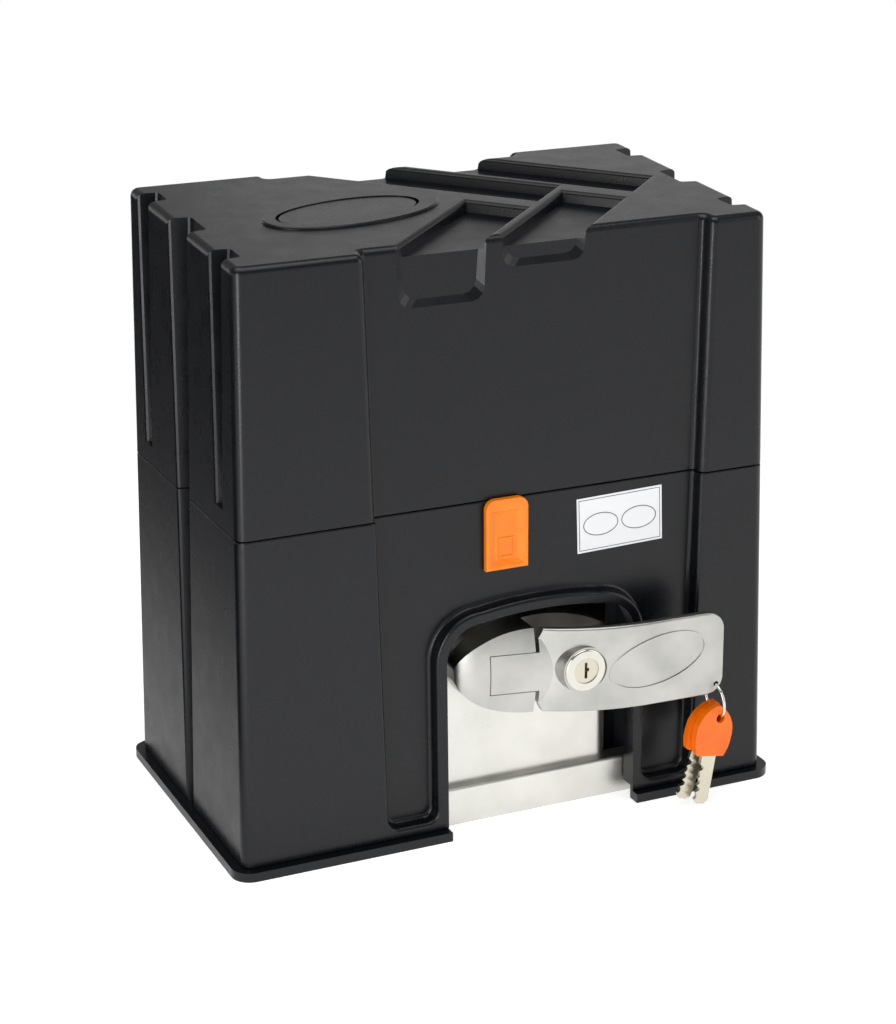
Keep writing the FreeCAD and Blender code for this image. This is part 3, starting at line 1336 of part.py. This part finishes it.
pieces = {
    "upper_cover": upper_cover(),
    "badge_insert": badge_insert(),
    "lower_cover": lower_cover(),
    "lid_latch": lid_latch(),
    "cover_screws": cover_screws(),
    "gearbox_housing": gearbox_housing(),
    "gearbox_rear_cover": gearbox_rear_cover(),
    "output_bearing_front": ball_bearing(
        BEARING_RADIUS, SHAFT_RADIUS + RUNNING_FIT, BEARING_WIDTH, CROWN_X, BEARING_FRONT_Y, CROWN_Z, ALONG_Y
    ),
    "output_bearing_rear": ball_bearing(
        BEARING_RADIUS, SHAFT_RADIUS + RUNNING_FIT, BEARING_WIDTH, CROWN_X, BEARING_BACK_Y, CROWN_Z, ALONG_Y
    ),
    "crown_wheel": crown_wheel(),
    "output_shaft": output_shaft(),
    "output_pinion": output_pinion(),
    "worm_shaft": worm_shaft(),
    "motor_shell": motor_shell(),
    "stator_core": stator_core(),
    "rotor_core": rotor_core(),
    "motor_end_shield": motor_end_shield(),
    "motor_bolts": motor_bolts(),
    "encoder_cap": encoder_cap(),
    "board_bracket": board_bracket(),
    "control_board": control_board(),
    "terminal_blocks": terminal_blocks(),
    "transformer": transformer(),
    "capacitor": capacitor(),
    "release_fork": release_fork(),
    "hinge_pin": hinge_pin(),
    "release_lever": release_lever(),
    "lock_barrel": lock_barrel(),
    "lock_plug": lock_plug(),
    "lock_cam": lock_cam(),
    "key_ring": key_ring(),
    "key_front_bow": key_bow(FRONT_KEY_Y, FRONT_KEY_LEAN),
    "key_front_blade": key_blade(FRONT_KEY_Y, FRONT_KEY_LEAN),
    "key_back_bow": key_bow(BACK_KEY_Y, BACK_KEY_LEAN),
    "key_back_blade": key_blade(BACK_KEY_Y, BACK_KEY_LEAN),
}

os.makedirs("parts", exist_ok=True)
for name, shape in pieces.items():
    shape.exportStep(os.path.join("parts", name + ".step"))
    print(name, len(shape.Solids), round(shape.Volume / 1000, 2), shape.isValid())
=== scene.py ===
import math

import bpy
from mathutils import Matrix, Vector


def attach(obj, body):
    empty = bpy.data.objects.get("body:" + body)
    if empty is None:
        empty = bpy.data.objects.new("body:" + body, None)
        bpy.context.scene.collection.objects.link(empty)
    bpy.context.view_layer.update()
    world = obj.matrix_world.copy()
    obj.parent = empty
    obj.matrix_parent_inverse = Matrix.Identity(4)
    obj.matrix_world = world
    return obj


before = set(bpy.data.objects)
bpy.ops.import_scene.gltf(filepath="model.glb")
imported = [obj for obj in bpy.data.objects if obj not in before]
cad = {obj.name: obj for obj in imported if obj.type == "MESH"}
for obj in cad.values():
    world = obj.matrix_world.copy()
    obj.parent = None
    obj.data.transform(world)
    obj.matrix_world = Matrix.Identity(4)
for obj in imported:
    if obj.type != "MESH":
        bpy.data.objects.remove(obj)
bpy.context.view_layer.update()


# ---- Housing: the lower cover and the lid.
# Two ABS mouldings with a fine spark-eroded grain, near black, that catch the light on every rounded edge.
# The lid lifts off the lower cover; both are drawn as solids and take their finish here.

def linear(hex_colour):
    """An sRGB hex colour as linear red, green, blue, alpha."""
    parts = [int(hex_colour[i:i + 2], 16) / 255 for i in (1, 3, 5)]
    return tuple(p / 12.92 if p <= 0.04045 else ((p + 0.055) / 1.055) ** 2.4 for p in parts) + (1.0,)


def add_node(material, kind, inputs=None, **settings):
    """Adds a node; an input is either a value or another node's output."""
    tree = material.node_tree
    node = tree.nodes.new(kind)
    for name, value in settings.items():
        setattr(node, name, value)
    for name, value in (inputs or {}).items():
        if isinstance(value, bpy.types.NodeSocket):
            tree.links.new(value, node.inputs[name])
        else:
            node.inputs[name].default_value = value
    return node


def new_material(name):
    """Empty material and its output node."""
    material = bpy.data.materials.new(name)
    material.use_nodes = True
    material.node_tree.nodes.clear()
    return material, add_node(material, "ShaderNodeOutputMaterial")


def per_millimetre(size):
    """Texture scale for a pattern of the given size in millimetres."""
    return 1000.0 / size


def speckle(material, size, detail=2.0, roughness=0.5):
    """Noise whose grains are the given size in millimetres."""
    place = add_node(material, "ShaderNodeTexCoord")
    return add_node(
        material,
        "ShaderNodeTexNoise",
        {"Vector": place.outputs["Object"], "Scale": per_millimetre(size), "Detail": detail, "Roughness": roughness},
    )


def maths(material, operation, *values):
    """Result of a Math node."""
    node = add_node(material, "ShaderNodeMath", dict(enumerate(values)), operation=operation)
    return node.outputs["Value"]


def remap(material, value, start, end, low, high):
    """A value taken from one range to another and held at its ends."""
    node = add_node(
        material,
        "ShaderNodeMapRange",
        {"Value": value, "From Min": start, "From Max": end, "To Min": low, "To Max": high},
    )
    return node.outputs["Result"]


NOISE_DARK = 0.3
NOISE_LIGHT = 0.7


def spread(material, source, low, high):
    """A noise's grey stretched between two values."""
    return remap(material, source.outputs["Fac"], NOISE_DARK, NOISE_LIGHT, low, high)


def blend(material, share, first, second):
    """Mix of two colours, each a value or another node's output; 6 and 7 in and 2 out are the node's colour sockets."""
    mix = add_node(material, "ShaderNodeMix", {0: share, 6: first, 7: second}, data_type="RGBA")
    return mix.outputs[2]


def tint(material, source, first, second):
    """Two colours mixed by a noise."""
    return blend(material, spread(material, source, 0.0, 1.0), linear(first), linear(second))


BUMP_STRENGTH = 0.6


def finish_surface(material, output, surface, bump_source, height):
    """Adds the bump and closes the material."""
    bump = add_node(
        material,
        "ShaderNodeBump",
        {"Height": bump_source.outputs["Fac"], "Distance": height, "Strength": BUMP_STRENGTH},
    )
    material.node_tree.links.new(bump.outputs["Normal"], surface.inputs["Normal"])
    material.node_tree.links.new(surface.outputs["BSDF"], output.inputs["Surface"])
    return material


def moulded_abs(name, dark, light, gloss):
    """Moulded ABS: eroded grain, faint flow clouds and a soft sheen."""
    material, output = new_material(name)
    clouds = speckle(material, 60.0, 3.0)
    grain = speckle(material, 0.9, 2.0, 0.6)
    wear = speckle(material, 14.0, 4.0)
    surface = add_node(material, "ShaderNodeBsdfPrincipled", {"IOR": 1.5, "Specular IOR Level": 0.34})
    links = material.node_tree.links
    links.new(tint(material, clouds, dark, light), surface.inputs["Base Color"])
    links.new(spread(material, wear, gloss - 0.03, gloss + 0.04), surface.inputs["Roughness"])
    return finish_surface(material, output, surface, grain, 0.00006)


def wear_material(material, *names):
    """Gives the named solids a material."""
    for name in names:
        slots = cad[name].data.materials
        slots.clear()
        slots.append(material)


housing_plastic = moulded_abs("moulded_abs_black", "#080A0D", "#0B0D11", 0.28)
wear_material(housing_plastic, "lower_cover", "upper_cover")


# ---- Badge on the lid.
# A bare oval insert of the same plastic, a little smoother, let into a raised rim.

badge_plastic = moulded_abs("moulded_abs_badge", "#090B0E", "#0C0E12", 0.26)
wear_material(badge_plastic, "badge_insert")


# ---- Latch.
# Orange injection-moulded polypropylene, semi gloss, pushed down by hand to free the lid.

def coloured_plastic(name, deep, bright, gloss):
    """Glossy coloured plastic with slight subsurface glow."""
    material, output = new_material(name)
    clouds = speckle(material, 9.0, 2.0)
    grain = speckle(material, 0.7, 2.0)
    surface = add_node(
        material,
        "ShaderNodeBsdfPrincipled",
        {"IOR": 1.49, "Subsurface Weight": 0.06, "Subsurface Scale": 0.002},
    )
    links = material.node_tree.links
    links.new(tint(material, clouds, deep, bright), surface.inputs["Base Color"])
    links.new(spread(material, clouds, gloss - 0.04, gloss + 0.05), surface.inputs["Roughness"])
    return finish_surface(material, output, surface, grain, 0.00003)


latch_plastic = coloured_plastic("polypropylene_orange", "#EE7A06", "#F6860C", 0.38)
wear_material(latch_plastic, "lid_latch")


# ---- Gearbox casting, its rear cover and the motor.
# Aluminium gravity castings, bead blasted and tumbled, so the metal is pale, cloudy and satin.

def cast_metal(name, dark, light, gloss, grain_size, depth):
    """Blasted cast metal: cloudy tone, fine pits."""
    material, output = new_material(name)
    clouds = speckle(material, 26.0, 4.0)
    grain = speckle(material, grain_size, 3.0, 0.6)
    surface = add_node(material, "ShaderNodeBsdfPrincipled", {"Metallic": 1.0})
    links = material.node_tree.links
    links.new(tint(material, clouds, dark, light), surface.inputs["Base Color"])
    links.new(spread(material, clouds, gloss - 0.06, gloss + 0.06), surface.inputs["Roughness"])
    return finish_surface(material, output, surface, grain, depth)


blasted_aluminium = cast_metal("cast_aluminium_blasted", "#CDCCC6", "#DDDCD6", 0.32, 0.8, 0.00006)
wear_material(blasted_aluminium, "gearbox_housing", "gearbox_rear_cover")
motor_aluminium = cast_metal("cast_aluminium_motor", "#A9AAAB", "#BEBFC0", 0.5, 1.0, 0.0001)
wear_material(motor_aluminium, "motor_shell", "motor_end_shield")


# ---- Release lever and its fork.
# The same casting alloy, tumbled and hand polished to a silky satin.

tumbled_aluminium = cast_metal("cast_aluminium_tumbled", "#A8A8A4", "#C2C1BC", 0.33, 0.6, 0.00003)
wear_material(tumbled_aluminium, "release_lever", "release_fork")


# ---- Lock, keys and small steel parts.
# Chromed bezel, nickelled plug, nickelled brass key blades under orange moulded heads, and ground steel.

chrome = cast_metal("chrome_plate", "#C9C7BE", "#D6D4CB", 0.1, 2.0, 0.00001)
wear_material(chrome, "lock_barrel", "key_ring")
nickel = cast_metal("satin_nickel", "#C4BFAE", "#CFCAB9", 0.3, 0.5, 0.00002)
wear_material(nickel, "lock_plug", "key_front_blade", "key_back_blade")
key_plastic = coloured_plastic("key_head_orange", "#EE6800", "#F67404", 0.36)
wear_material(key_plastic, "key_front_bow", "key_back_bow")
ground_steel = cast_metal("ground_steel", "#9C9DA0", "#AFB0B3", 0.3, 0.5, 0.00002)
wear_material(ground_steel, "lock_cam", "hinge_pin")


# ---- Drive: crown wheel, plain shafts, bearings and the rack pinion.
# Cast bronze for the crown wheel and ground steel for the shafts; the pinion and the screws are zinc plated.

bronze = cast_metal("gear_bronze", "#A87434", "#C08A45", 0.34, 0.6, 0.00004)
wear_material(bronze, "crown_wheel")
zinc_plate = cast_metal("zinc_plate", "#B2B5B8", "#C6C8CA", 0.32, 0.8, 0.00002)
wear_material(zinc_plate, "output_pinion", "cover_screws", "motor_bolts")
wear_material(ground_steel, "output_shaft", "worm_shaft")
bearing_steel = cast_metal("bearing_steel", "#8E9094", "#A3A5A8", 0.22, 0.5, 0.00001)
wear_material(bearing_steel, "output_bearing_front", "output_bearing_rear")


# ---- Motor cores and the sensor cap.
# Electrical steel sheet, drawn as fine level lines one millimetre apart, and a plain black cap.

def axis_places(material, axis):
    """One coordinate of the surface in metres."""
    place = add_node(material, "ShaderNodeTexCoord")
    split = add_node(material, "ShaderNodeSeparateXYZ", {"Vector": place.outputs["Object"]})
    return split.outputs[axis]


SHEET_PITCH = 1.0


def sheet_lines(material, place, sheet_share):
    """1 on the dark varnish lines between stacked sheets and 0 on the sheets."""
    sheets = maths(material, "MULTIPLY", place, per_millimetre(SHEET_PITCH))
    return maths(material, "GREATER_THAN", maths(material, "FRACT", sheets), sheet_share)


def sheet_stack(name, axis, dark, light):
    """Stacked sheet steel with a dark varnish line between the sheets."""
    material, output = new_material(name)
    lines = sheet_lines(material, axis_places(material, axis), 0.72)
    rust = speckle(material, 12.0, 4.0)
    grain = speckle(material, 0.6)
    surface = add_node(material, "ShaderNodeBsdfPrincipled", {"Metallic": 0.9})
    links = material.node_tree.links
    bare = tint(material, rust, dark, light)
    links.new(blend(material, lines, bare, linear("#2C2A28")), surface.inputs["Base Color"])
    links.new(spread(material, rust, 0.38, 0.52), surface.inputs["Roughness"])
    return finish_surface(material, output, surface, grain, 0.00002)


motor_sheets = sheet_stack("motor_laminations", "Z", "#5E5C5A", "#7A7875")
wear_material(motor_sheets, "stator_core", "rotor_core")
cap_plastic = moulded_abs("sensor_cap_black", "#141518", "#1B1C20", 0.42)
wear_material(cap_plastic, "encoder_cap")


# ---- Electronics.
# A green board with tracks, green screw terminals, a laminated transformer with a taped coil and a white capacitor.

PAD_RADIUS = 0.15
COMPONENTS_FROM = -0.0518


def circuit_board(name, mask, track, housings, housing_front):
    """Solder mask with tracks and tinned pads; whatever stands out past the given depth is a component's housing."""
    material, output = new_material(name)
    place = add_node(material, "ShaderNodeTexCoord")
    split = add_node(material, "ShaderNodeSeparateXYZ", {"Vector": place.outputs["Object"]})
    flat = add_node(material, "ShaderNodeCombineXYZ", {"X": split.outputs["X"], "Y": split.outputs["Z"]})
    tracks = add_node(
        material,
        "ShaderNodeTexBrick",
        {
            "Vector": flat.outputs["Vector"], "Scale": per_millimetre(16.0), "Mortar Size": 0.022,
            "Brick Width": 0.62, "Row Height": 0.17, "Color1": linear(mask), "Color2": linear(mask),
            "Mortar": linear(track),
        },
        offset=0.35,
        squash=1.6,
    )
    dots = add_node(
        material,
        "ShaderNodeTexVoronoi",
        {"Vector": flat.outputs["Vector"], "Scale": per_millimetre(5.0), "Randomness": 0.4},
    )
    pads = maths(material, "LESS_THAN", dots.outputs["Distance"], PAD_RADIUS)
    raised = maths(material, "LESS_THAN", split.outputs["Y"], housing_front)
    clouds = speckle(material, 20.0)
    grain = speckle(material, 0.8)
    surface = add_node(material, "ShaderNodeBsdfPrincipled", {"IOR": 1.5, "Coat Weight": 0.2})
    links = material.node_tree.links
    board = blend(material, pads, tracks.outputs["Color"], linear("#B9BABC"))
    links.new(blend(material, raised, board, linear(housings)), surface.inputs["Base Color"])
    links.new(spread(material, clouds, 0.28, 0.4), surface.inputs["Roughness"])
    return finish_surface(material, output, surface, grain, 0.00002)


board_green = circuit_board("board_solder_mask", "#0F5A33", "#2B8A55", "#23262C", COMPONENTS_FROM)
wear_material(board_green, "control_board")
terminal_green = coloured_plastic("terminal_polyamide_green", "#1E7A3C", "#2A8D4A", 0.4)
wear_material(terminal_green, "terminal_blocks")
bracket_plastic = moulded_abs("bracket_abs_grey", "#2A2C2F", "#34363A", 0.45)
wear_material(bracket_plastic, "board_bracket")
capacitor_plastic = coloured_plastic("capacitor_polypropylene_white", "#D2D3D0", "#DFE0DC", 0.36)
wear_material(capacitor_plastic, "capacitor")


CORE_HALF = 0.01005


def transformer_surface(name):
    """Sheet steel stack along X; yellow coil tape wherever the surface stands outside the stack's width."""
    material, output = new_material(name)
    width = axis_places(material, "X")
    solid = cad["transformer"]
    middle = sum((solid.matrix_world @ Vector(corner)).x for corner in solid.bound_box) / 8
    apart = maths(material, "ABSOLUTE", maths(material, "SUBTRACT", width, middle))
    taped = maths(material, "GREATER_THAN", apart, CORE_HALF)
    lines = sheet_lines(material, width, 0.7)
    clouds = speckle(material, 10.0)
    grain = speckle(material, 0.7)
    surface = add_node(material, "ShaderNodeBsdfPrincipled", {"IOR": 1.5})
    links = material.node_tree.links
    stack = blend(material, lines, tint(material, clouds, "#6A6C70", "#84868A"), linear("#2B2B2D"))
    tape = tint(material, clouds, "#B98A1E", "#C99A2C")
    links.new(blend(material, taped, stack, tape), surface.inputs["Base Color"])
    links.new(maths(material, "SUBTRACT", 1.0, taped), surface.inputs["Metallic"])
    links.new(spread(material, clouds, 0.38, 0.5), surface.inputs["Roughness"])
    return finish_surface(material, output, surface, grain, 0.00003)


wear_material(transformer_surface("transformer_core_and_coil"), "transformer")


# ---- Label.
# A bare white polyester label beside the latch: a thin printed frame and two empty ovals, with no words.

LABEL_CENTRE = Vector((0.0658, -0.0758, 0.1590))
LABEL_WIDE = 0.050
LABEL_TALL = 0.030
LABEL_TURN = math.radians(-1.5)
LABEL_LEAN = math.radians(-0.6)
label_turned = Matrix.Rotation(LABEL_LEAN, 4, "X") @ Matrix.Rotation(LABEL_TURN, 4, "Y")
label_frame = Matrix.Translation(LABEL_CENTRE) @ label_turned


def plain_paint(name, colour, roughness):
    """One even coat of colour."""
    material, output = new_material(name)
    grain = speckle(material, 1.2, 2.0)
    surface = add_node(
        material, "ShaderNodeBsdfPrincipled", {"Base Color": linear(colour), "Roughness": roughness}
    )
    return finish_surface(material, output, surface, grain, 0.000005)


def label_piece(name, loops, material, lift, thickness):
    """Flat piece on the label; each loop is a closed row of x, z points, and inner loops are holes."""
    curve = bpy.data.curves.new(name, "CURVE")
    curve.dimensions = "2D"
    curve.fill_mode = "BOTH"
    curve.extrude = thickness / 2
    for loop in loops:
        spline = curve.splines.new("POLY")
        spline.points.add(len(loop) - 1)
        for point, (x, z) in zip(spline.points, loop):
            point.co = (x, z, 0, 1)
        spline.use_cyclic_u = True
    drawn = bpy.data.objects.new(name + "_curve", curve)
    bpy.context.scene.collection.objects.link(drawn)
    mesh = bpy.data.meshes.new_from_object(drawn)
    bpy.data.objects.remove(drawn)
    mesh.name = name
    mesh.transform(Matrix.Translation((0, 0, lift)))
    mesh.transform(label_frame @ Matrix.Rotation(math.radians(90), 4, "X"))
    mesh.materials.clear()
    mesh.materials.append(material)
    piece = bpy.data.objects.new(name, mesh)
    bpy.context.scene.collection.objects.link(piece)
    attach(piece, "base")
    return piece


def oblong(wide, tall, x=0.0, z=0.0):
    """Rectangle's corners."""
    return [(x + sx * wide / 2, z + sz * tall / 2) for sx, sz in ((-1, -1), (1, -1), (1, 1), (-1, 1))]


def oval(wide, tall, x=0.0, z=0.0):
    """Points round an oval."""
    turns = [2 * math.pi * step / 48 for step in range(48)]
    return [(x + wide / 2 * math.cos(turn), z + tall / 2 * math.sin(turn)) for turn in turns]


label_white = plain_paint("label_polyester_white", "#E9EAEC", 0.3)
label_ink = plain_paint("label_ink_black", "#26272A", 0.35)
label_piece("label_plate", [oblong(LABEL_WIDE, LABEL_TALL)], label_white, 0.00012, 0.00018)
FRAME_MARGINS = (0.0022, 0.0028)
OVAL_SIZES = ((0.0205, 0.0125), (0.0197, 0.0117))
OVAL_APART = 0.0112
OVAL_DROP = -0.0005
print_loops = [oblong(LABEL_WIDE - margin, LABEL_TALL - margin) for margin in FRAME_MARGINS]
for side in (-1, 1):
    print_loops += [oval(wide, tall, side * OVAL_APART, OVAL_DROP) for wide, tall in OVAL_SIZES]
label_piece("label_print", print_loops, label_ink, 0.00026, 0.00008)


# ---- Studio: a pale floor, soft lamps and the camera.
# The floor glows white to the camera; to reflections it carries painted shade at the back left, a dark patch that
# stands in for shade there.

FLOOR_SIZE = 8.0
bpy.ops.mesh.primitive_plane_add(size=FLOOR_SIZE, location=(0, 0, -0.0002))
floor = bpy.context.object
floor.name = "studio_floor"
floor_paint, floor_output = new_material("studio_floor_paint")
floor_place = add_node(floor_paint, "ShaderNodeTexCoord")
floor_axes = add_node(floor_paint, "ShaderNodeSeparateXYZ", {"Vector": floor_place.outputs["Object"]})
floor_light = add_node(floor_paint, "ShaderNodeLightPath")
# Painted shade: a dark patch on the floor at the back left, seen only in reflections on the housing.
painted_shade_patch = maths(
    floor_paint,
    "MULTIPLY",
    remap(floor_paint, floor_axes.outputs["X"], -0.1, -0.3, 0.0, 1.0),
    remap(floor_paint, floor_axes.outputs["Y"], -0.2, 0.0, 0.0, 1.0),
)
painted_shade_in_reflections = maths(floor_paint, "MULTIPLY", painted_shade_patch, floor_light.outputs["Is Glossy Ray"])
floor_surface = add_node(floor_paint, "ShaderNodeBsdfDiffuse", {"Color": linear("#F4F4F4")})
floor_glow = add_node(floor_paint, "ShaderNodeEmission", {"Color": (1, 1, 1, 1), "Strength": 0.6})
floor_sum = add_node(floor_paint, "ShaderNodeAddShader", {0: floor_surface.outputs[0], 1: floor_glow.outputs[0]})
# Painted shade: the dark grey that reflections see inside that patch.
painted_shade_floor = add_node(floor_paint, "ShaderNodeBsdfDiffuse", {"Color": linear("#3A3A3C")})
floor_near = add_node(
    floor_paint, "ShaderNodeMixShader", {0: painted_shade_in_reflections, 1: floor_sum.outputs[0], 2: painted_shade_floor.outputs[0]}
)
floor_reach = add_node(floor_paint, "ShaderNodeVectorMath", {0: floor_place.outputs["Object"]}, operation="LENGTH")
floor_far = remap(floor_paint, floor_reach.outputs["Value"], 0.4, 1.1, 0.0, 1.0)
far_seen = maths(floor_paint, "MULTIPLY", floor_far, floor_light.outputs["Is Camera Ray"])
white_floor = add_node(floor_paint, "ShaderNodeEmission", {"Color": (1, 1, 1, 1), "Strength": 1.0})
floor_all = add_node(
    floor_paint, "ShaderNodeMixShader", {0: far_seen, 1: floor_near.outputs[0], 2: white_floor.outputs[0]}
)
floor_paint.node_tree.links.new(floor_all.outputs[0], floor_output.inputs["Surface"])
floor.data.materials.append(floor_paint)

world = bpy.data.worlds.new("studio_world")
bpy.context.scene.world = world
world.use_nodes = True
world.node_tree.nodes.clear()
seen = add_node(world, "ShaderNodeLightPath")
seen_through = maths(world, "MAXIMUM", seen.outputs["Is Camera Ray"], seen.outputs["Is Transmission Ray"])
sky_place = add_node(world, "ShaderNodeTexCoord")
sky_axes = add_node(world, "ShaderNodeSeparateXYZ", {"Vector": sky_place.outputs["Generated"]})
low_sky = remap(world, sky_axes.outputs["Z"], 0.12, 0.26, 1.0, 0.0)
mirrored = maths(world, "MULTIPLY", seen.outputs["Is Glossy Ray"], low_sky)
shown = maths(world, "MAXIMUM", seen_through, mirrored)
white_sky = add_node(world, "ShaderNodeBackground", {"Color": (1, 1, 1, 1), "Strength": 1.0})
soft_sky = add_node(world, "ShaderNodeBackground", {"Color": (1, 1, 1, 1), "Strength": 0.24})
sky = add_node(world, "ShaderNodeMixShader", {0: shown, 1: soft_sky.outputs[0], 2: white_sky.outputs[0]})
add_node(world, "ShaderNodeOutputWorld", {"Surface": sky.outputs[0]})


def soft_lamp(name, place, aim, size, power):
    """Rectangular soft box."""
    lamp = bpy.data.lights.new(name, "AREA")
    lamp.shape = "RECTANGLE"
    lamp.size, lamp.size_y = size
    lamp.energy = power
    holder = bpy.data.objects.new(name, lamp)
    bpy.context.scene.collection.objects.link(holder)
    holder.location = place
    holder.rotation_euler = (Vector(aim) - Vector(place)).to_track_quat("-Z", "Y").to_euler()
    holder.visible_camera = False


MIDDLE = (0.0, 0.0, 0.16)
soft_lamp("overhead_softbox", (-0.1, -0.2, 1.7), MIDDLE, (1.6, 1.2), 15.0)
soft_lamp("corner_strip", (-0.62, -0.62, 0.3), (-0.14, -0.08, 0.16), (0.2, 0.55), 3.2)
soft_lamp("right_softbox", (1.3, -1.0, 0.8), MIDDLE, (0.7, 1.2), 5.0)
soft_lamp("back_softbox", (1.1, 1.5, 0.9), MIDDLE, (1.4, 0.8), 1.0)

CAMERA_PLACE = Vector((-0.5177, -1.1679, 0.5907))
CAMERA_YAW = 0.418
CAMERA_PITCH = 0.333
CAMERA_ROLL = -0.007
CAMERA_SENSOR = 36.0
CAMERA_LENS = 87.71
ahead = Vector((
    math.sin(CAMERA_YAW) * math.cos(CAMERA_PITCH),
    math.cos(CAMERA_YAW) * math.cos(CAMERA_PITCH),
    -math.sin(CAMERA_PITCH),
))
level = Vector((math.cos(CAMERA_YAW), -math.sin(CAMERA_YAW), 0.0))
upright = level.cross(ahead)
right = math.cos(CAMERA_ROLL) * level + math.sin(CAMERA_ROLL) * upright
up = -math.sin(CAMERA_ROLL) * level + math.cos(CAMERA_ROLL) * upright
camera_data = bpy.data.cameras.new("camera")
camera_data.sensor_width = CAMERA_SENSOR
camera_data.lens = CAMERA_LENS
camera = bpy.data.objects.new("camera", camera_data)
bpy.context.scene.collection.objects.link(camera)
turn = Matrix((right, up, -ahead)).transposed().to_4x4()
camera.matrix_world = Matrix.Translation(CAMERA_PLACE) @ turn
bpy.context.scene.camera = camera
bpy.context.scene.view_settings.view_transform = "Standard"
